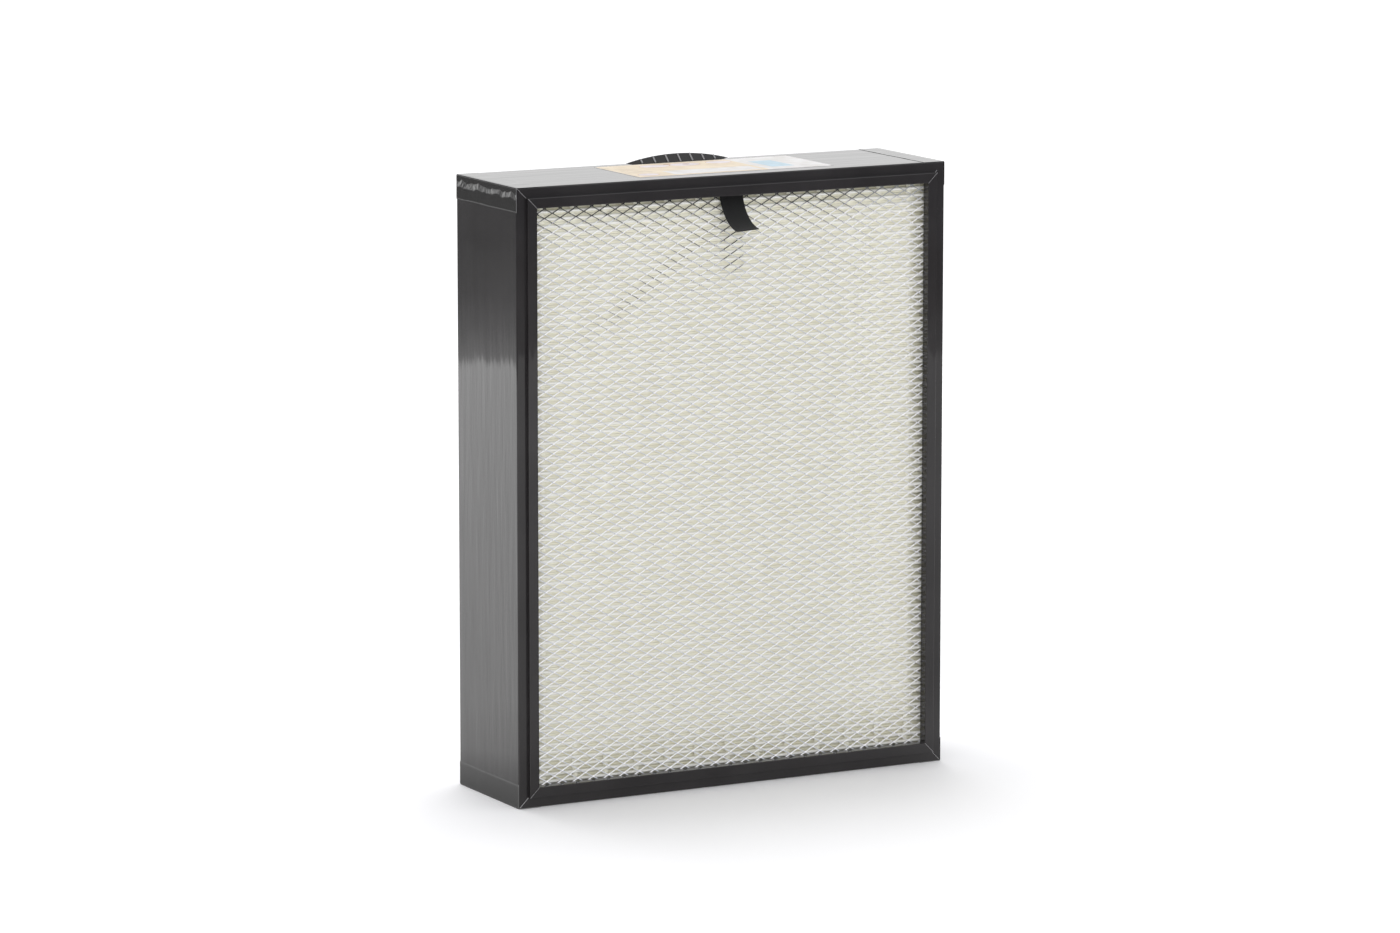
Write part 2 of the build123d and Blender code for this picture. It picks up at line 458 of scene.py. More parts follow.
@dataclass(frozen=True)
class WovenRibbon(Finish):
    """Woven polyester ribbon: matt black ribs across its width, drawn at 1.1 mm so that they show."""

    rib_pitch: float = 1.1 * MM
    rib_lift: float = 0.25 * MM
    painted_hollow_shade: str = "070707"

    def wire(self, tree: bpy.types.NodeTree, shader: bpy.types.Node) -> None:
        """Weft ribs by warp lines in the bump, with painted shade darkening the weave's hollows, on the ribbon's own
        UV map in millimetres.

        Args:
            tree: Node tree of the material.
            shader: Its shader.
        """
        shader.inputs["Sheen Weight"].default_value = 0.05
        shader.inputs["Sheen Roughness"].default_value = 0.5
        place = add_node(tree, "ShaderNodeUVMap", {"uv_map": "cloth"})
        # At scale one the bands of the wave texture are tau / 20 wide; the UV map is in millimetres
        bands = math.tau / 20 / (self.rib_pitch / MM)
        heights = []
        for direction in ("X", "Y"):
            heights.append(
                add_node(
                    tree,
                    "ShaderNodeTexWave",
                    {"bands_direction": direction, "Scale": bands},
                    {"Vector": place.outputs["UV"]},
                )
            )
        weave = add_node(
            tree,
            "ShaderNodeMath",
            {"operation": "MULTIPLY"},
            {0: heights[0].outputs["Fac"], 1: heights[1].outputs["Fac"]},
        )
        bump = add_node(
            tree, "ShaderNodeBump", {"Strength": 0.8, "Distance": self.rib_lift}, {"Height": weave.outputs["Value"]}
        )
        tree.links.new(bump.outputs["Normal"], shader.inputs["Normal"])
        # Painted shade: the colour darkens in the hollows between the ribs
        shade = add_node(tree, "ShaderNodeValToRGB", links={"Fac": weave.outputs["Value"]})
        set_ramp(shade, [(0.0, self.painted_hollow_shade), (1.0, self.colour)])
        tree.links.new(shade.outputs["Color"], shader.inputs["Base Color"])


@dataclass(frozen=True)
class LabelStock(Finish):
    """Coated label paper: smooth and pale, with the sheen of a varnish and very faint mottling."""

    mottle: float = 9 * MM

    def wire(self, tree: bpy.types.NodeTree, shader: bpy.types.Node) -> None:
        """Mottling in the colour.

        Args:
            tree: Node tree of the material.
            shader: Its shader.
        """
        place = add_node(tree, "ShaderNodeTexCoord")
        cloud = add_node(
            tree, "ShaderNodeTexNoise", {"Scale": 1 / self.mottle, "Detail": 5.0}, {"Vector": place.outputs["Object"]}
        )
        shade = add_node(tree, "ShaderNodeValToRGB", links={"Fac": cloud.outputs["Fac"]})
        set_ramp(shade, [(0.3, "ece9e4"), (0.65, "ffffff")])
        mixed = add_node(
            tree,
            "ShaderNodeMix",
            {
                "data_type": "RGBA",
                "blend_type": "MULTIPLY",
                "factor_mode": "UNIFORM",
                0: 1.0,
                6: linear(self.colour),
            },
            {7: shade.outputs["Color"]},
        )
        tree.links.new(mixed.outputs[2], shader.inputs["Base Color"])


@dataclass(frozen=True)
class Moulding(Finish):
    """Moulded plastic or foam: an even skin with a fine grain of a given size."""

    grain: float = 1.2 * MM
    relief: float = 0.08 * MM

    def wire(self, tree: bpy.types.NodeTree, shader: bpy.types.Node) -> None:
        """Grain in the bump and in the roughness.

        Args:
            tree: Node tree of the material.
            shader: Its shader.
        """
        place = add_node(tree, "ShaderNodeTexCoord")
        speck = add_node(
            tree, "ShaderNodeTexNoise", {"Scale": 1 / self.grain, "Detail": 3.0}, {"Vector": place.outputs["Object"]}
        )
        bump = add_node(
            tree, "ShaderNodeBump", {"Strength": 0.5, "Distance": self.relief}, {"Height": speck.outputs["Fac"]}
        )
        tree.links.new(bump.outputs["Normal"], shader.inputs["Normal"])
        spread = add_node(
            tree,
            "ShaderNodeMapRange",
            {"To Min": self.roughness * 0.85, "To Max": min(1.0, self.roughness * 1.15)},
            {"Value": speck.outputs["Fac"]},
        )
        tree.links.new(spread.outputs["Result"], shader.inputs["Roughness"])


@dataclass(frozen=True)
class StudioPaper(Finish):
    """Matt white floor paper that glows a little, so that it stays white away from the soft boxes."""

    near: float = 0.8
    far: float = 3.0
    near_glow: float = 0.06
    far_glow: float = 0.4

    def wire(self, tree: bpy.types.NodeTree, shader: bpy.types.Node) -> None:
        """Glow by distance from the panel.

        Args:
            tree: Node tree of the material.
            shader: Its shader.
        """
        glow = add_node(
            tree,
            "ShaderNodeMapRange",
            {"From Min": self.near, "From Max": self.far, "To Min": self.near_glow, "To Max": self.far_glow},
            {"Value": away(tree)},
        )
        shader.inputs["Emission Color"].default_value = WHITE
        tree.links.new(glow.outputs["Result"], shader.inputs["Emission Strength"])


def away(tree: bpy.types.NodeTree) -> bpy.types.NodeSocket:
    """Distance from the middle of the panel's foot, in metres.

    Args:
        tree: Node tree of the material.

    Returns:
        Socket with the distance.
    """
    place = add_node(tree, "ShaderNodeTexCoord")
    length = add_node(tree, "ShaderNodeVectorMath", {"operation": "LENGTH"}, {0: place.outputs["Object"]})
    return length.outputs["Value"]


@dataclass(frozen=True)
class GlowCard(Finish):
    """White card that glows more behind the panel than in front, dimmer at the panel's foot and far out."""

    front_glow: float = 1.0
    rear_glow: float = 2.1
    blend: float = 0.3
    reach: float = 3.2
    fall: tuple[tuple[float, str], ...] = (
        (0.045, "8c8b90"),
        (0.09, "dad9df"),
        (0.695, "ffffff"),
        (0.705, "b8b7bc"),
        (0.78, "96959a"),
        (0.86, "7c7b80"),
        (1.0, "707075"),
    )

    def wire(self, tree: bpy.types.NodeTree, shader: bpy.types.Node) -> None:
        """Brightness by depth and by distance.

        Args:
            tree: Node tree of the material.
            shader: Its shader.
        """
        place = add_node(tree, "ShaderNodeTexCoord")
        split = add_node(tree, "ShaderNodeSeparateXYZ", links={"Vector": place.outputs["Object"]})
        side = add_node(
            tree,
            "ShaderNodeMapRange",
            {"From Min": -self.blend, "From Max": self.blend, "To Min": self.front_glow, "To Max": self.rear_glow},
            {"Value": split.outputs["Y"]},
        )
        share = add_node(tree, "ShaderNodeMath", {"operation": "DIVIDE", 1: self.reach}, {0: away(tree)})
        fall = add_node(tree, "ShaderNodeValToRGB", links={"Fac": share.outputs["Value"]})
        set_ramp(fall, self.fall)
        glow = add_node(
            tree, "ShaderNodeMath", {"operation": "MULTIPLY"}, {0: side.outputs["Result"], 1: fall.outputs["Color"]}
        )
        shader.inputs["Base Color"].default_value = BLACK
        shader.inputs["Specular IOR Level"].default_value = 0.0
        shader.inputs["Emission Color"].default_value = WHITE
        tree.links.new(glow.outputs["Value"], shader.inputs["Emission Strength"])


# Mesh helpers


def place_mesh(name: str, bm: bmesh.types.BMesh, finishes: Sequence[Finish]) -> bpy.types.Object:
    """Turns a bmesh into an object at the origin.

    Args:
        name: Name of the object.
        bm: Its shape in metres, in the frame's own place; it is freed.
        finishes: Finishes by material number.

    Returns:
        The object.
    """
    mesh = bpy.data.meshes.new(name)
    bm.to_mesh(mesh)
    bm.free()
    for finish in finishes:
        mesh.materials.append(finish.material())
    made = bpy.data.objects.new(name, mesh)
    bpy.context.scene.collection.objects.link(made)
    return made


def piece(name: str, bm: bmesh.types.BMesh, finishes: Sequence[Finish], smooth: bool = True) -> bpy.types.Object:
    """Turns a bmesh into a piece that rides on the panel.

    Args:
        name: Name of the piece.
        bm: Its shape in metres, in the frame's own place; it is freed.
        finishes: Finishes by material number.
        smooth: Whether its faces are shaded smooth.

    Returns:
        The piece.
    """
    made = place_mesh(name, bm, finishes)
    mesh = made.data
    mesh.polygons.foreach_set("use_smooth", [smooth] * len(mesh.polygons))
    if smooth:
        mesh.set_sharp_from_angle(angle=math.radians(50))
    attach(made, "root")
    LOG.info("%s: %d faces", name, len(mesh.polygons))
    return made


def bar(bm: bmesh.types.BMesh, size: Sequence[float], place: Matrix) -> list[bmesh.types.BMVert]:
    """Adds a rectangular bar.

    Args:
        bm: Mesh that takes it.
        size: Length along each of its own axes.
        place: Where its middle goes and how it is turned.

    Returns:
        Its eight vertices.
    """
    made = bmesh.ops.create_cube(bm, size=1.0, matrix=place @ Matrix.Diagonal((*size, 1.0)))
    return made["verts"]


def only(kind: type, geom: Sequence[Any]) -> list[Any]:
    """Picks the items of one kind out of an operator's result."""
    return [g for g in geom if isinstance(g, kind)]


def paint(verts: Sequence[bmesh.types.BMVert], number: int) -> None:
    """Gives the faces round some vertices a material number."""
    for face in {f for v in verts for f in v.link_faces}:
        face.material_index = number


def sweep(
    bm: bmesh.types.BMesh,
    geom: Sequence[Any],
    steps: int,
    step: Sequence[float] = (0, 0, 0),
    centre: Sequence[float] = (0, 0, 0),
    axis: Sequence[float] = (1, 0, 0),
    angle: float = 0.0,
) -> list[Any]:
    """Extrudes geometry in steps, along a line or round a centre.

    Args:
        bm: Mesh that holds it.
        geom: Vertices and edges to sweep.
        steps: Number of steps.
        step: Shift of each step.
        centre: Middle of the turn.
        axis: Axis of the turn.
        angle: Whole turn in radians.

    Returns:
        The geometry at the far end.
    """
    made = bmesh.ops.spin(bm, geom=geom, cent=centre, axis=axis, angle=angle, dvec=step, steps=steps)
    return made["geom_last"]


def repeat(bm: bmesh.types.BMesh, geom: list[Any], count: int, step: Vector) -> list[Any]:
    """Repeats geometry in a row by doubling.

    Args:
        bm: Mesh that holds it.
        geom: Vertices, edges and faces to repeat.
        count: How many there are in all.
        step: Distance from each to the next.

    Returns:
        All of the geometry.
    """
    row = list(geom)
    made = 1
    while made < count:
        extra = min(made, count - made)
        part = row[: len(geom) * extra]
        copy = bmesh.ops.duplicate(bm, geom=part)["geom"]
        bmesh.ops.translate(bm, vec=step * made, verts=only(bmesh.types.BMVert, copy))
        row = regroup(row, copy, len(geom), extra)
        made += extra
    return row


def regroup(row: list[Any], copy: list[Any], size: int, extra: int) -> list[Any]:
    """Joins a copied run to a row, keeping each repeated unit together.

    Args:
        row: Geometry so far, unit after unit.
        copy: The copied geometry, all vertices first, then edges, then faces.
        size: Not used.
        extra: Units that were copied.

    Returns:
        The longer row.
    """
    kinds = [only(kind, copy) for kind in (bmesh.types.BMVert, bmesh.types.BMEdge, bmesh.types.BMFace)]
    units = []
    for i in range(extra):
        for items in kinds:
            share = len(items) // extra
            units += items[i * share : (i + 1) * share]
    return row + units


def waver(point: Vector, size: float, seed: float) -> float:
    """Smooth noise from minus one to one.

    Args:
        point: Place in metres.
        size: Width of its bumps in metres.
        seed: Offset that picks another pattern.

    Returns:
        The noise there.
    """
    return noise.noise(point / size + Vector((seed, seed * 0.37, -seed)))


# Finishes of this panel

# Extruded PVC: near black with a clean gloss, so that each flat face mirrors one tone, streaked along the rail
RAIL_ACROSS = SatinExtrusion("extruded_black_pvc_across", "frame_plastic", "242223", 0.035)
RAIL_UPRIGHT = SatinExtrusion(
    "extruded_black_pvc_upright", "frame_plastic", "242223", 0.024, wave_lift=0.6 * MM, lines=Axis.ALONG_Z
)
# Moulded ABS: plain half-matt black
KEY_PLASTIC = Moulding("moulded_black_abs", "key_plastic", "1b1a1b", 0.5)
# Polypropylene film: nearly the gloss of the rails, with bright broken streaks where it folds, and a pale cut edge
# that is partly a painted highlight
TAPE_FILM = FilmTape("black_polypropylene_film", "film_tape", "212020", 0.05)
CUT_EDGE_AND_HIGHLIGHT = Moulding("cut_film_edge_and_highlight", "film_tape", "8f8e91", 0.4)
# Mill-finish aluminium: each strand is white or grey as it leans to the light or away
MESH_METAL = ExpandedAluminium("expanded_aluminium_sheet", "guard_metal", "f0f0f3", 0.19)
# Glass-fibre paper: matt and faintly warm white, with painted shade a little yellower in the folds
PAPER = GlassPaper("glass_fibre_paper", "media_paper", "e2e2df", 0.85)
# Hot melt: a milky cream close to the paper's own shade
BEAD = HotMelt("hot_melt_spacer", "media_paper", "dfddd0", 0.6)
# Woven polyester: deep matt black with fine ribs
RIBBON = WovenRibbon("woven_polyester_ribbon", "ribbon", "0e0d0e", 0.8)
# Coated paper and its inks: pale, even fields under a weak varnish
LABEL_CREAM = LabelStock("label_paper_cream", "label_paper", "cfc1ab", 0.45)
LABEL_WHITE = LabelStock("label_paper_white", "label_paper", "cccbcc", 0.45)
LABEL_BLUE = LabelStock("label_ink_pale_blue", "label_paper", "aac0cd", 0.5)
LABEL_LILAC = LabelStock("label_ink_pale_lilac", "label_paper", "cdc6cb", 0.5)
LABEL_RUST = LabelStock("label_ink_rust", "label_paper", "ba9382", 0.5)
LABEL_DARK_RUST = LabelStock("label_ink_dark_rust", "label_paper", "8a5a44", 0.5)
LABEL_GREY = LabelStock("label_ink_grey", "label_paper", "afa59a", 0.5)
# Moulded rubber: soft black, with ribs painted grey as a highlight
GRIP_RUBBER = Moulding("moulded_black_rubber", "grip_rubber", "131213", 0.5)
GRIP_RIB_HIGHLIGHT = Moulding("painted_rib_highlight", "grip_rubber", "818082", 0.5)
# Cast polyurethane: cream resin with slow ripples
BED_RESIN = Moulding("cast_polyurethane", "adhesive", "c9c2ab", 0.4, grain=4 * MM, relief=0.3 * MM)
# Closed-cell foam: dark grey, matt and finely pitted
SEAL_FOAM = Moulding("closed_cell_foam", "seal_foam", "2a2a2c", 0.9, grain=0.9 * MM, relief=0.25 * MM)
# Set glue: a thin light grey line
MITRE_GLUE = Moulding("mitre_glue_line", "frame_plastic", "aeadaf", 0.4)


@dataclass
class FrameRails:
    """Four mitred rails with the pale hairlines of glue along their mitres.

    The glue of the top right mitre stops short of the outer corner (starved), and the outer part of the bottom left
    one is wider (generous).
    """

    line_width: float = 0.15 * MM
    line_height: float = 0.07 * MM
    line_start: float = 0.6 * MM
    web: float = 15.3 * MM
    band: float = 7.8 * MM
    raise_depth: float = 3.2 * MM
    starved: float = 6.2 * MM
    generous: float = 0.32 * MM

    def dress(self, nodes: dict[str, bpy.types.Object]) -> None:
        """Gives the CAD rails and keys their finishes.

        Args:
            nodes: CAD nodes by name.
        """
        for name, finish in (
            ("top_rail", RAIL_ACROSS),
            ("bottom_rail", RAIL_ACROSS),
            ("left_rail", RAIL_UPRIGHT),
            ("right_rail", RAIL_UPRIGHT),
        ):
            set_finish(nodes[name], finish)
        for level in ("top", "bottom"):
            for side in ("left", "right"):
                set_finish(nodes[f"corner_key_{level}_{side}"], KEY_PLASTIC)

    def build_mitre_lines(self) -> bpy.types.Object:
        """Thin beads of glue that show in the mitres of the front bands.

        Returns:
            The beads as one piece.
        """
        lo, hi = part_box("left_rail")
        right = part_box("right_rail")[1].x
        raised = lo.y
        front = raised + self.raise_depth
        bm = bmesh.new()
        for sx, x in ((1, lo.x), (-1, right)):
            for sz, z in ((1, lo.z), (-1, hi.z)):
                lean = Matrix.Rotation(-sx * sz * math.radians(45), 4, "Y")
                outer = self.starved if (sx, sz) == (-1, -1) else self.line_start
                for start, end, y in ((outer, self.band, front), (self.band, self.web, raised)):
                    middle = (start + end) / 2
                    length = (end - start) * math.sqrt(2)
                    place = Matrix.Translation((x + sx * middle, y, z + sz * middle)) @ lean
                    wide = self.generous if (sx, sz) == (1, 1) and start < self.band else self.line_width
                    bar(bm, (length, self.line_height, wide), place)
        return piece("mitre_glue", bm, [MITRE_GLUE], smooth=False)


def set_finish(node: bpy.types.Object, finish: Finish) -> None:
    """Gives a CAD node one finish.

    Args:
        node: CAD node; its mesh isn't changed.
        finish: Finish that it takes.
    """
    node.data.materials.clear()
    node.data.materials.append(finish.material())
    LOG.info("%s: dressed with %s", node.name, finish.name)


@dataclass
class PleatedPack:
    """Glass-fibre paper folded into horizontal pleats, a little uneven between its spacer beads."""

    count: int = 82
    tip_radius: float = 1.1 * MM
    mouth: float = 1.35 * MM
    mouth_depth: float = 1.75 * MM
    pinch: float = 0.1 * MM
    pinch_depth: float = 2.0 * MM
    bottom_gap: float = 0.1 * MM
    steps_across: int = 60
    sway: float = 0.25 * MM
    gape: float = 3.5 * MM
    gape_reach: tuple[float, float] = (12.0 * MM, 38.0 * MM)
    opening: tuple[float, float, float] = (162.2 * MM, 15.5 * MM, 438.9 * MM)

    def build(self) -> bpy.types.Object:
        """Folds one pleat's edge line, repeats it upwards and sweeps it across the width.

        Returns:
            The folded sheet.
        """
        lo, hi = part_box("media_pack")
        pitch = (hi.z - lo.z) / self.count
        bm = bmesh.new()
        self.fold_pleat(bm, lo, hi, pitch)
        repeat(bm, bm.verts[:] + bm.edges[:], self.count - 1, Vector((0, 0, pitch)))
        bmesh.ops.remove_doubles(bm, verts=bm.verts[:], dist=MERGE)
        step = (hi.x - lo.x) / self.steps_across
        sweep(bm, bm.verts[:] + bm.edges[:], self.steps_across, step=(step, 0, 0))
        bmesh.ops.remove_doubles(bm, verts=bm.verts[:], dist=MERGE)
        bmesh.ops.recalc_face_normals(bm, faces=bm.faces[:])
        self.sway_tips(bm, lo, hi)
        made = piece("pleated_paper", bm, [PAPER])
        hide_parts("media_pack")
        return made

    def fold_pleat(self, bm: bmesh.types.BMesh, lo: Vector, hi: Vector, pitch: float) -> None:
        """Draws one pleat from its front fold to the next one, as a chain of edges.

        Args:
            bm: Mesh that takes the chain.
            lo: Lowest corner of the pack.
            hi: Highest corner of the pack.
            pitch: Distance from one pleat to the next.
        """
        r = self.tip_radius
        front, rear = lo.y + r, hi.y - r
        near, far = lo.y + self.pinch_depth, hi.y - self.pinch_depth
        near_mouth, far_mouth = lo.y + self.mouth_depth, hi.y - self.mouth_depth
        fold = lo.z + r + self.bottom_gap
        rear_fold = fold + pitch / 2
        start = bm.verts.new((lo.x, front, fold - r))
        end = sweep(bm, [start], 4, centre=(lo.x, front, fold), angle=-math.pi)[0]
        for y, z in (
            (near_mouth, rear_fold - self.mouth),
            (near, rear_fold - self.pinch),
            (far, fold + self.pinch),
            (far_mouth, fold + self.mouth),
            (rear, rear_fold - r),
        ):
            end = self.draw_to(bm, end, (lo.x, y, z))
        end = sweep(bm, [end], 2, centre=(lo.x, rear, rear_fold), angle=math.pi)[0]
        for y, z in (
            (far_mouth, fold + pitch - self.mouth),
            (far, fold + pitch - self.pinch),
            (near, rear_fold + self.pinch),
            (near_mouth, rear_fold + self.mouth),
            (front, fold + pitch - r),
        ):
            end = self.draw_to(bm, end, (lo.x, y, z))

    def draw_to(
        self, bm: bmesh.types.BMesh, end: bmesh.types.BMVert, place: Sequence[float]
    ) -> bmesh.types.BMVert:
        """Carries a chain on by one straight edge.

        Args:
            bm: Mesh that holds the chain.
            end: Its last vertex.
            place: Where the edge goes to.

        Returns:
            The new last vertex.
        """
        made = bmesh.ops.extrude_vert_indiv(bm, verts=[end])["verts"][0]
        made.co = place
        return made

    def sway_tips(self, bm: bmesh.types.BMesh, lo: Vector, hi: Vector) -> None:
        """Moves the folds up, down and in a little, as the paper gives between the beads.

        Args:
            bm: The folded sheet.
            lo: Lowest corner of the pack.
            hi: Highest corner of the pack.
        """
        depth = 3 * self.pinch_depth
        for vert in bm.verts:
            gap = min(vert.co.y - lo.y, hi.y - vert.co.y)
            near = max(0.0, 1 - gap / depth)
            place = vert.co.copy()
            inward = 1 if vert.co.y < 0 else -1
            vert.co.z += near * self.sway * waver(place, 12 * MM, 3.0)
            vert.co.y += inward * near * 0.5 * self.sway * (waver(place, 17 * MM, 8.0) + 1)
            if self.tip_radius * 1.2 < gap < depth:
                vert.co.y += inward * self.gape * self.closeness(place) ** 1.5

    def closeness(self, place: Vector) -> float:
        """Tells how near a place is to the frame's opening edge, where no bead closes the pleats.

        Args:
            place: Place on the sheet.

        Returns:
            One at the edge and beyond, falling to zero at the reach.
        """
        half, low, high = self.opening
        across, upward = self.gape_reach
        edge = min((half - abs(place.x)) / across, (place.z - low) / upward, (high - place.z) / across)
        return min(1.0, max(0.0, 1 - edge))


@dataclass
class SpacerBeads:
    """Columns of hot-melt drops that hold the pleats apart, on the front and rear faces."""

    pitch: float = 25.4 * MM
    first: float = -0.5 * MM
    width: float = 5.0 * MM
    depth: float = 1.6 * MM
    inset: float = 2.75 * MM
    drift: float = 0.9 * MM
    climb: float = 0.3 * MM

    def build(self, pack: PleatedPack) -> bpy.types.Object:
        """One drop, repeated up each column and across the width.

        Args:
            pack: The pleated pack that carries the drops.

        Returns:
            The drops as one piece.
        """
        lo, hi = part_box("media_pack")
        pleat = (hi.z - lo.z) / pack.count
        columns = int((hi.x - lo.x) // self.pitch)
        start = self.first - (columns // 2) * self.pitch
        bm = bmesh.new()
        for y in (lo.y + self.inset, hi.y - self.inset):
            bmesh.ops.create_uvsphere(
                bm,
                u_segments=8,
                v_segments=5,
                radius=0.5,
                matrix=Matrix.Translation((start, y, lo.z + pack.tip_radius + pleat / 2))
                @ Matrix.Diagonal((self.width, self.depth, pleat - pack.tip_radius, 1)),
            )
        unit = bm.verts[:] + bm.edges[:] + bm.faces[:]
        repeat(bm, unit, pack.count - 1, Vector((0, 0, pleat)))
        repeat(bm, bm.verts[:] + bm.edges[:] + bm.faces[:], columns, Vector((self.pitch, 0, 0)))
        for vert in bm.verts:
            place = vert.co.copy()
            vert.co.x += self.drift * waver(place, 9 * MM, 5.0)
            vert.co.z += self.climb * waver(place, 5 * MM, 2.0)
        return piece("spacer_beads", bm, [BEAD])


@dataclass
class FaceGuard:
    """Expanded aluminium sheet: staggered diamonds whose strands lean back like louvres."""

    name: str
    node: str
    long_way: float = 12.7 * MM
    short_way: float = 7.0 * MM
    strand: float = 0.66 * MM
    sheet: float = 0.2 * MM
    lean: float = 36.0
    columns: int = 27
    rows: int = 64
    bond_length: float = 2.4 * MM
    bond_share: float = 1.4
    ripple: float = 0.15 * MM

    def build(self) -> bpy.types.Object:
        """One diamond of four strands and two bonds, repeated over the face.

        Returns:
            The guard.
        """
        lo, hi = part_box(self.node)
        middle = (lo + hi) / 2
        half_x, half_z = self.long_way / 2, self.short_way / 2
        slope = math.atan2(half_z, half_x)
        length = math.hypot(half_x, half_z)
        start = Vector(
            (middle.x - self.columns * self.long_way / 2, middle.y, middle.z - self.rows * self.short_way / 2)
        )
        bm = bmesh.new()
        tilt = Matrix.Rotation(math.radians(-self.lean), 4, "X")
        for sx, sz in ((1, 1), (-1, 1), (1, -1), (-1, -1)):
            centre = start + Vector((half_x + sx * half_x / 2, 0, half_z + sz * half_z / 2))
            turn = Matrix.Rotation(sx * sz * slope, 4, "Y")
            place = Matrix.Translation(centre) @ turn @ tilt
            bar(bm, (length, self.sheet, self.strand), place)
        for spot in (Vector((half_x, 0, 0)), Vector((0, 0, half_z))):
            place = Matrix.Translation(start + spot) @ tilt
            bar(bm, (self.bond_length, self.sheet * 1.05, self.strand * self.bond_share), place)
        unit = bm.verts[:] + bm.edges[:] + bm.faces[:]
        repeat(bm, unit, self.columns, Vector((self.long_way, 0, 0)))
        repeat(bm, bm.verts[:] + bm.edges[:] + bm.faces[:], self.rows, Vector((0, 0, self.short_way)))
        for vert in bm.verts:
            vert.co.y += self.ripple * waver(vert.co.copy(), 40 * MM, 1.0)
        made = piece(self.name, bm, [MESH_METAL], smooth=False)
        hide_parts(self.node)
        return made


@dataclass
class PullTab:
    """Woven ribbon that hangs from behind the top rail's lip and curls out to the front."""

    width: float = 19.0 * MM
    thick: float = 0.55 * MM
    tuck: float = 7.0 * MM
    drop: float = 0.5 * MM
    bend: float = 6.0 * MM
    leave: float = 20.0
    curl: float = 31.5 * MM
    curl_turn: float = 62.5
    seat: float = 0.3 * MM
    across: int = 10

    def length(self) -> float:
        """Length of the ribbon that shows and is tucked in."""
        return self.tuck + self.drop + self.bend * math.radians(self.leave) + self.curl * math.radians(self.curl_turn)

    def build(self) -> bpy.types.Object:
        """Extrudes the ribbon's end line down and round its curl.

        Returns:
            The ribbon.
        """
        lo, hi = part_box("pull_tab")
        middle = (lo.x + hi.x) / 2
        y = hi.y - self.seat
        bm = bmesh.new()
        start = bm.verts.new((middle - self.width / 2, y, hi.z))
        sweep(bm, [start], self.across, step=(self.width / self.across, 0, 0))
        low = hi.z - self.tuck - self.drop
        angle = math.radians(self.leave)
        end = sweep(bm, bm.edges[:], 4, step=(0, 0, -(self.tuck + self.drop) / 4))
        end = sweep(bm, only(bmesh.types.BMEdge, end), 4, centre=(0, y - self.bend, low), angle=-angle)
        out = Vector((0, y - self.bend + self.bend * math.cos(angle), low - self.bend * math.sin(angle)))
        centre = out + Vector((0, -self.curl * math.cos(angle), self.curl * math.sin(angle)))
        sweep(bm, only(bmesh.types.BMEdge, end), 16, centre=centre, angle=-math.radians(self.curl_turn))
        bmesh.ops.remove_doubles(bm, verts=bm.verts[:], dist=MERGE)
        self.lay_uv(bm, middle, hi.z, y)
        self.twist(bm, middle, low)
        bmesh.ops.recalc_face_normals(bm, faces=bm.faces[:])
        bmesh.ops.solidify(bm, geom=bm.faces[:], thickness=self.thick)
        made = piece("ribbon_tab", bm, [RIBBON])
        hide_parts("pull_tab")
        return made

    def lay_uv(self, bm: bmesh.types.BMesh, middle: float, top: float, y: float) -> None:
        """Gives the ribbon a UV map in millimetres across and down.

        Args:
            bm: The ribbon.
            middle: X of its middle line.
            top: Height of its tucked end.
            y: Depth of its tucked part.
        """
        layer = bm.loops.layers.uv.new("cloth")
        for face in bm.faces:
            for loop in face.loops:
                at = loop.vert.co
                run = top - at.z + max(0.0, y - at.y) * 0.45
                loop[layer].uv = ((at.x - middle) / MM, run / MM)

    def twist(self, bm: bmesh.types.BMesh, middle: float, low: float) -> None:
        """Turns the free end a few degrees, as a ribbon does that was pulled.

        Args:
            bm: The ribbon.
            middle: X of its middle line.
            low: Height at which it leaves the lip.
        """
        for vert in bm.verts:
            share = min(1.0, max(0.0, (low - vert.co.z) / (24 * MM)))
            side = vert.co.x - middle
            vert.co.y += side * math.sin(math.radians(5.0)) * share
            vert.co.z += side * math.sin(math.radians(2.5)) * share
            vert.co.x -= 0.3 * MM * share


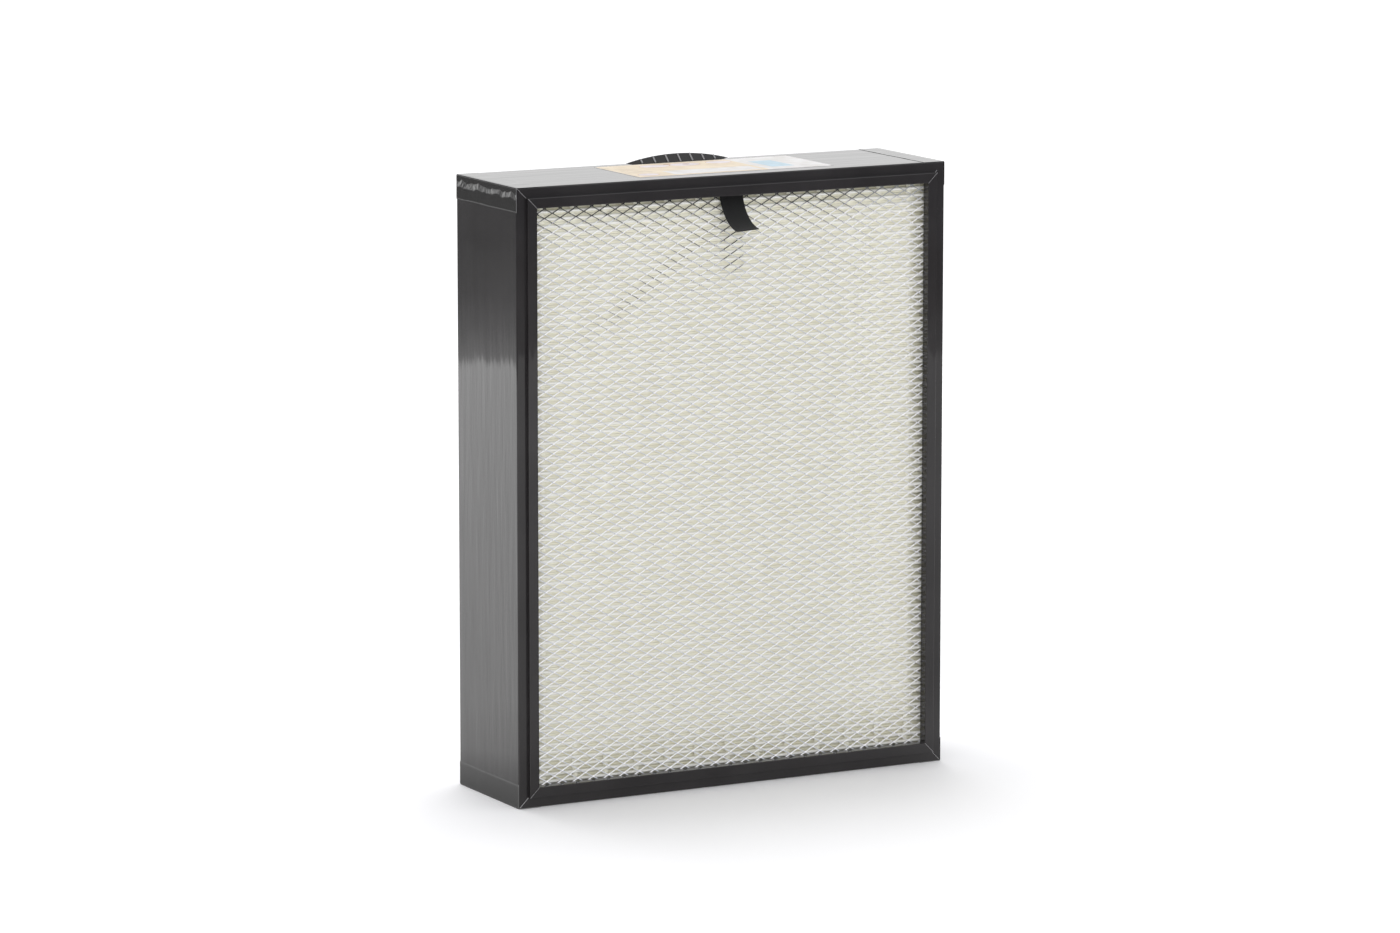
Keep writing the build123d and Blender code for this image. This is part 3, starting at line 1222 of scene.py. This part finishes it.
@dataclass
class CornerTapes:
    """Film folded over each corner along the whole depth, with a loose edge here and there."""

    thick: float = 0.06 * MM
    leg: float = 17.5 * MM
    round: float = 1.0 * MM
    trimmed: float = -48.4 * MM
    snug: float = 0.1 * MM
    flare_wide: float = 0.45 * MM
    flare_lift: float = 0.14 * MM
    curl_wide: float = 0.35 * MM
    curl_lift: float = 0.12 * MM
    bubble: float = 16 * MM
    bubble_lift: float = 0.16 * MM
    leg_steps: int = 9
    steps: int = 40

    def build(self) -> list[bpy.types.Object]:
        """Builds the four tapes.

        Returns:
            The tapes.
        """
        made = []
        for seed, (level, side) in enumerate(
            (("top", "left"), ("top", "right"), ("bottom", "left"), ("bottom", "right"))
        ):
            made.append(self.build_one(level, side, seed + 1.0))
        return made

    def build_one(self, level: str, side: str, seed: float) -> bpy.types.Object:
        """One tape: its folded edge line is swept from front to rear, then gently wrinkled.

        Args:
            level: top or bottom.
            side: left or right.
            seed: Picks its wrinkles.

        Returns:
            The tape.
        """
        node = f"corner_tape_{level}_{side}"
        lo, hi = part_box(node)
        sx = -1 if side == "left" else 1
        lo.y = self.trimmed if sx > 0 else lo.y + self.flare_wide
        sz = 1 if level == "top" else -1
        corner_x = lo.x if sx < 0 else hi.x
        corner_z = hi.z if sz > 0 else lo.z
        inset = self.thick / 2 + self.snug
        x = corner_x - sx * inset
        z = corner_z - sz * inset
        bm = bmesh.new()
        first = bm.verts.new((x - sx * self.leg, lo.y, z))
        step = (self.leg - self.round) / self.leg_steps
        run = sweep(bm, [first], self.leg_steps, step=(sx * step, 0, 0))
        turn = sweep(
            bm,
            only(bmesh.types.BMVert, run),
            4,
            centre=(x - sx * self.round, lo.y, z - sz * self.round),
            axis=(0, 1, 0),
            angle=sx * sz * math.pi / 2,
        )
        sweep(bm, only(bmesh.types.BMVert, turn), self.leg_steps, step=(0, 0, -sz * step))
        sweep(bm, bm.verts[:] + bm.edges[:], self.steps, step=(0, (hi.y - lo.y) / self.steps, 0))
        bmesh.ops.remove_doubles(bm, verts=bm.verts[:], dist=MERGE)
        bmesh.ops.recalc_face_normals(bm, faces=bm.faces[:])
        self.wrinkle(bm, Vector((x, 0, z)), sx, sz, seed)
        self.lift_edge(bm, x, z, sx, sz)
        bmesh.ops.solidify(bm, geom=bm.faces[:], thickness=self.thick)
        made = piece(f"film_{level}_{side}", bm, [TAPE_FILM, CUT_EDGE_AND_HIGHLIGHT])
        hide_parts(node)
        return made

    def lift_edge(self, bm: bmesh.types.BMesh, x: float, z: float, sx: int, sz: int) -> None:
        """Carries each long cut edge on by a narrow strip that stands off the rail a little.

        On the left side the front end flares out too, and at the top left it shows its pale cut edge, partly a
        painted highlight.

        Args:
            bm: The film.
            x: Outer side of the tape.
            z: Outer level of the tape.
            sx: Side of the panel, minus one for left.
            sz: Level, one for top.
        """
        reach = self.leg - 1.2 * MM
        if sx < 0:
            mouth = min(v.co.y for v in bm.verts)
            ends = [
                e
                for e in bm.edges
                if all(v.co.y < mouth + MERGE and abs(v.co.x - x) < 0.3 * MM for v in e.verts)
            ]
            flare = bmesh.ops.extrude_edge_only(bm, edges=ends)["geom"]
            bmesh.ops.translate(
                bm,
                vec=Vector((sx * self.flare_lift, -self.flare_wide, 0)),
                verts=only(bmesh.types.BMVert, flare),
            )
            # Pale cut edge, partly a painted highlight: the top left flare takes the light grey edge material
            for face in only(bmesh.types.BMFace, flare):
                face.material_index = 1 if sz > 0 else 0
        for on_side in (True, False):
            cut = [
                e
                for e in bm.edges
                if e.is_boundary
                and all((abs(v.co.z - z) if on_side else abs(v.co.x - x)) > reach for v in e.verts)
            ]
            strip = bmesh.ops.extrude_edge_only(bm, edges=cut)["geom"]
            down, out = self.curl_wide, sz * self.curl_lift if on_side == (sx < 0) else 0.0
            step = Vector((sx * out, 0, -sz * down)) if on_side else Vector((-sx * down, 0, sz * out))
            bmesh.ops.translate(bm, vec=step, verts=only(bmesh.types.BMVert, strip))

    def wrinkle(self, bm: bmesh.types.BMesh, corner: Vector, sx: int, sz: int, seed: float) -> None:
        """Lifts the film a little off the rail in places, and wavers its cut edges.

        Args:
            bm: The film.
            corner: The tape's own outer corner.
            sx: Side of the panel, minus one for left.
            sz: Level, one for top.
            seed: Picks the wrinkles.
        """
        for vert in bm.verts:
            place = vert.co.copy()
            down = abs(place.z - corner.z)
            along = abs(place.x - corner.x)
            lift = self.bubble_lift * max(0.0, waver(place, self.bubble, seed) - 0.1)
            if down < self.round / 2:
                vert.co.z += sz * lift * min(1.0, along / (4 * MM))
                if along > self.leg - 0.5 * MM:
                    vert.co.x += sx * 0.5 * MM * waver(place, 24 * MM, seed + 4)
            elif along < self.round / 2:
                vert.co.x += sx * lift * min(1.0, down / (4 * MM))
                if down > self.leg - 0.5 * MM:
                    vert.co.z += 0.4 * MM * waver(place, 24 * MM, seed + 7)


@dataclass(frozen=True)
class LabelField:
    """One flat field of the label, in millimetres from its left front corner."""

    finish: Finish
    x: float
    y: float
    wide: float
    deep: float
    oval: bool = False


@dataclass
class TopLabel:
    """Paper label with plain colour fields, a little left of its solid; nothing on it is lettering."""

    paper: float = 0.15 * MM
    ink: float = 0.02 * MM
    slid: float = 2.4 * MM
    short: float = 2.0 * MM

    def layout(self) -> list[LabelField]:
        """Lists the colour fields.

        Returns:
            The fields, from the lowest to the topmost.
        """
        made = [
            LabelField(LABEL_CREAM, 0.4, 0.4, 108.0, 71.2),
            LabelField(LABEL_WHITE, 32.0, 5.0, 72.0, 22.0),
            LabelField(LABEL_BLUE, 117.0, 14.0, 19.0, 37.0),
        ]
        for row in range(5):
            made.append(LabelField(LABEL_GREY, 5.0, 28.0 + row * 5.4, 20.0 - 3.0 * (row % 3), 0.9))
        for x, y, wide, deep in (
            (6.0, 7.0, 16.0, 12.0),
            (30.0, 50.0, 24.0, 14.0),
            (55.0, 49.0, 24.0, 15.0),
            (86.0, 51.0, 20.0, 14.0),
        ):
            made.append(LabelField(LABEL_RUST, x - 0.4, y - 0.4, wide + 0.8, deep + 0.8, oval=True))
            made.append(LabelField(LABEL_LILAC, x, y, wide, deep, oval=True))
        for x, y in ((53.0, 62.5), (66.0, 57.0)):
            made.append(LabelField(LABEL_DARK_RUST, x, y, 6.0, 3.0, oval=True))
        return made

    def build(self) -> bpy.types.Object:
        """Lays the fields one over another on the paper.

        Returns:
            The label.
        """
        lo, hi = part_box("top_label")
        lo.x -= self.slid
        hi.x -= self.slid + self.short
        finishes: list[Finish] = [LABEL_WHITE]
        bm = bmesh.new()
        size = (hi.x - lo.x, hi.y - lo.y, self.paper)
        bar(bm, size, Matrix.Translation(((lo.x + hi.x) / 2, (lo.y + hi.y) / 2, lo.z + self.paper / 2)))
        level = lo.z + self.paper
        for spot in self.layout():
            if spot.finish not in finishes:
                finishes.append(spot.finish)
            level += self.ink / 10
            centre = Vector((lo.x + (spot.x + spot.wide / 2) * MM, lo.y + (spot.y + spot.deep / 2) * MM, level))
            shape = Matrix.Translation(centre) @ Matrix.Diagonal((spot.wide * MM, spot.deep * MM, self.ink, 1))
            if spot.oval:
                verts = bmesh.ops.create_cone(
                    bm, cap_ends=True, segments=32, radius1=0.5, radius2=0.5, depth=1.0, matrix=shape
                )["verts"]
            else:
                verts = bmesh.ops.create_cube(bm, size=1.0, matrix=shape)["verts"]
            paint(verts, finishes.index(spot.finish))
        made = piece("paper_label", bm, finishes, smooth=False)
        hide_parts("top_label")
        return made


@dataclass
class FingerGrip:
    """Arched rubber lip at the rear of the top rail; its ribs are painted pale grey as a highlight."""

    chord: float = 86.0 * MM
    height: float = 5.5 * MM
    lean: float = 6.0 * MM
    ribs: int = 7
    rib_pitch: float = 10.2 * MM
    rib_width: float = 1.15 * MM
    rib_thick: float = 0.8 * MM
    rib_share: float = 0.97
    toe: float = 0.2 * MM

    def build(self) -> bpy.types.Object:
        """Extrudes the arch, leans its front face back and adds the ribs.

        Returns:
            The grip.
        """
        lo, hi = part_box("finger_grip")
        middle = (lo.x + hi.x) / 2
        base, rear = lo.z, hi.y
        half = self.chord / 2
        radius = (half**2 + self.height**2) / (2 * self.height)
        spread = math.asin(half / radius)
        bm = bmesh.new()
        start = bm.verts.new((middle - half, rear, base))
        centre = (middle, rear, base + self.height - radius)
        sweep(bm, [start], 32, centre=centre, axis=(0, 1, 0), angle=2 * spread)
        self.close_arch(bm, base, rear)
        self.add_ribs(bm, middle, base, rear, radius)
        bmesh.ops.recalc_face_normals(bm, faces=bm.faces[:])
        made = piece("rubber_grip", bm, [GRIP_RUBBER, GRIP_RIB_HIGHLIGHT], smooth=False)
        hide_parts("finger_grip")
        return made

    def close_arch(self, bm: bmesh.types.BMesh, base: float, rear: float) -> None:
        """Makes the wedge under the arch's crest line.

        Args:
            bm: Mesh that holds the crest line.
            base: Height of the rail's top.
            rear: Not used.
        """
        crest = bm.edges[:]
        front = bmesh.ops.extrude_edge_only(bm, edges=crest)["geom"]
        for vert in only(bmesh.types.BMVert, front):
            drop = (vert.co.z - base) / self.height
            vert.co.y -= max(self.lean * drop, self.toe)
            vert.co.z = base
        back = bmesh.ops.extrude_edge_only(bm, edges=crest)["geom"]
        for vert in only(bmesh.types.BMVert, back):
            vert.co.z = base
        bmesh.ops.remove_doubles(bm, verts=bm.verts[:], dist=0.001 * MM)

    def add_ribs(self, bm: bmesh.types.BMesh, middle: float, base: float, rear: float, radius: float) -> None:
        """Adds the thin ribs up the leaning face.

        Args:
            bm: Mesh of the grip.
            middle: X of its middle.
            base: Height of the rail's top.
            rear: Depth of the rail's rear edge.
            radius: Radius of the arch.
        """
        for i in range(self.ribs):
            side = (i - (self.ribs - 1) / 2) * self.rib_pitch
            tall = math.sqrt(radius**2 - side**2) - (radius - self.height)
            deep = self.lean * tall / self.height
            length = math.hypot(tall, deep)
            slope = math.atan2(tall, deep)
            place = (
                Matrix.Translation((middle + side, rear - deep / 2, base + tall / 2))
                @ Matrix.Rotation(slope, 4, "X")
            )
            # Painted highlight: the ribs take the pale grey material
            paint(bar(bm, (self.rib_width, length * self.rib_share, self.rib_thick), place), 1)


@dataclass
class PlainPieces:
    """Pieces whose CAD solids are right as they are: the adhesive beds and the rear seal."""

    def dress(self, nodes: dict[str, bpy.types.Object]) -> None:
        """Gives them their finishes.

        Args:
            nodes: CAD nodes by name.
        """
        for side in ("left", "right", "bottom", "top"):
            set_finish(nodes[f"{side}_adhesive"], BED_RESIN)
            set_finish(nodes[f"seal_{side}"], SEAL_FOAM)


@dataclass
class Studio:
    """Pale floor, soft light and the camera."""

    target: tuple[float, float, float] = (-28.25 * MM, -48.5 * MM, 240.95 * MM)
    distance: float = 4439 * MM
    yaw: float = 28.33
    pitch: float = 9.50
    roll: float = 0.03
    lens: float = 156.1
    floor_radius: float = 60.0
    card_radius: float = 3.2
    card_height: float = 0.2 * MM
    aim_height: float = 0.22

    def build_camera(self) -> bpy.types.Object:
        """Places the camera at the photograph's angle.

        Returns:
            The camera.
        """
        yaw, pitch = math.radians(self.yaw), math.radians(self.pitch)
        ahead = Vector((math.sin(yaw) * math.cos(pitch), math.cos(yaw) * math.cos(pitch), -math.sin(pitch)))
        data = bpy.data.cameras.new("camera")
        data.sensor_width = 36.0
        data.lens = self.lens
        data.clip_end = 100.0
        camera = bpy.data.objects.new("camera", data)
        camera.location = Vector(self.target) - ahead * self.distance
        turn = ahead.to_track_quat("-Z", "Y").to_matrix().to_4x4()
        camera.rotation_euler = (turn @ Matrix.Rotation(math.radians(self.roll), 4, "Z")).to_euler()
        bpy.context.scene.collection.objects.link(camera)
        bpy.context.scene.camera = camera
        return camera

    def build_floor(self) -> None:
        """Lays a wide pale floor, and the white card that only the gloss of the panel shows."""
        floor = self.disc("studio_floor", self.floor_radius, 0.0, StudioPaper("floor_paper", "", "f3f3f5", 0.9))
        floor.visible_glossy = False
        glow = GlowCard("white_card", "", "ffffff", 1.0, reach=self.card_radius)
        card = self.disc("studio_card", self.card_radius, self.card_height, glow)
        card.visible_camera = False
        card.visible_diffuse = False
        card.visible_shadow = False
        card.visible_transmission = False
        LOG.info("floor: %s and %s", floor.name, card.name)

    def disc(self, name: str, radius: float, height: float, finish: Finish) -> bpy.types.Object:
        """One round sheet of the stage.

        Args:
            name: Its name.
            radius: Its radius.
            height: Height of its face.
            finish: Its finish.

        Returns:
            The sheet.
        """
        bm = bmesh.new()
        bmesh.ops.create_circle(
            bm, cap_ends=True, segments=96, radius=radius, matrix=Matrix.Translation((0, 0, height))
        )
        made = place_mesh(name, bm, [finish])
        return made

    def build_lights(self) -> None:
        """Sets a white surround and two large soft boxes."""
        self.build_surround()
        self.soft_box("soft_box_overhead", (0.15, 0.9, 2.6), 1.5, 40.0)
        self.soft_box("soft_box_front", (-1.0, -3.4, 1.0), 2.2, 38.0)

    def build_surround(self) -> None:
        """White to the camera, soft for diffuse light, and for gloss darker below the horizon."""
        scene = bpy.context.scene
        scene.view_settings.view_transform = "Standard"
        world = bpy.data.worlds.new("white_room")
        world.use_nodes = True
        scene.world = world
        tree = world.node_tree
        tree.nodes.clear()
        path = add_node(tree, "ShaderNodeLightPath")
        soft = add_node(tree, "ShaderNodeBackground", {"Color": WHITE, "Strength": 0.75})
        place = add_node(tree, "ShaderNodeTexCoord")
        split = add_node(tree, "ShaderNodeSeparateXYZ", links={"Vector": place.outputs["Generated"]})
        above = add_node(
            tree, "ShaderNodeMapRange", {"From Min": 0.45, "From Max": 0.8}, {"Value": split.outputs["Z"]}
        )
        behind = add_node(
            tree, "ShaderNodeMapRange", {"From Min": 0.2, "From Max": 0.6}, {"Value": split.outputs["Y"]}
        )
        sky = add_node(
            tree,
            "ShaderNodeMath",
            {"operation": "MAXIMUM"},
            {0: above.outputs["Result"], 1: behind.outputs["Result"]},
        )
        tone = add_node(tree, "ShaderNodeValToRGB", links={"Fac": sky.outputs["Value"]})
        set_ramp(tone, [(0.0, "d0d4da"), (1.0, "ffffff")])
        horizon = add_node(
            tree,
            "ShaderNodeMapRange",
            {"From Min": -0.02, "From Max": 0.02, "To Min": 0.3, "To Max": 1.12},
            {"Value": split.outputs["Z"]},
        )
        glossy = add_node(
            tree,
            "ShaderNodeBackground",
            links={"Color": tone.outputs["Color"], "Strength": horizon.outputs["Result"]},
        )
        bright = add_node(tree, "ShaderNodeBackground", {"Color": WHITE, "Strength": 1.0})
        first = add_node(
            tree,
            "ShaderNodeMixShader",
            links={0: path.outputs["Is Glossy Ray"], 1: soft.outputs["Background"], 2: glossy.outputs["Background"]},
        )
        second = add_node(
            tree,
            "ShaderNodeMixShader",
            links={0: path.outputs["Is Camera Ray"], 1: first.outputs["Shader"], 2: bright.outputs["Background"]},
        )
        add_node(tree, "ShaderNodeOutputWorld", links={"Surface": second.outputs["Shader"]})

    def soft_box(self, name: str, place: tuple[float, float, float], size: float, power: float) -> None:
        """One square soft box that faces the panel.

        Args:
            name: Its name.
            place: Where it stands.
            size: Its side.
            power: Its power in watts.
        """
        data = bpy.data.lights.new(name, "AREA")
        data.shape = "SQUARE"
        data.size = size
        data.energy = power
        made = bpy.data.objects.new(name, data)
        made.location = place
        ahead = Vector((0, 0, self.aim_height)) - Vector(place)
        made.rotation_euler = ahead.to_track_quat("-Z", "Y").to_euler()
        made.visible_glossy = False
        bpy.context.scene.collection.objects.link(made)


def report(step: str, build: Callable[[], object]) -> None:
    """Runs one building step and reports it.

    Args:
        step: Its plain name.
        build: What it runs.
    """
    LOG.info("building %s", step)
    build()


def main() -> None:
    """Builds the panel's looks in order."""
    logging.basicConfig(level=logging.INFO, format="%(name)s: %(message)s")
    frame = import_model()
    nodes = frame["nodes"]
    studio = Studio()
    report("camera", studio.build_camera)
    rails = FrameRails()
    report("rail finishes", lambda: rails.dress(nodes))
    report("mitre lines", rails.build_mitre_lines)
    pack = PleatedPack()
    report("pleated paper", pack.build)
    report("spacer beads", lambda: SpacerBeads().build(pack))
    report("front guard", FaceGuard("mesh_front", "front_guard").build)
    report("rear guard", FaceGuard("mesh_rear", "rear_guard").build)
    report("pull tab", PullTab().build)
    report("corner tapes", CornerTapes().build)
    report("label", TopLabel().build)
    report("finger grip", FingerGrip().build)
    report("plain pieces", lambda: PlainPieces().dress(nodes))
    report("floor", studio.build_floor)
    report("lights", studio.build_lights)


if __name__ == "__main__":
    main()
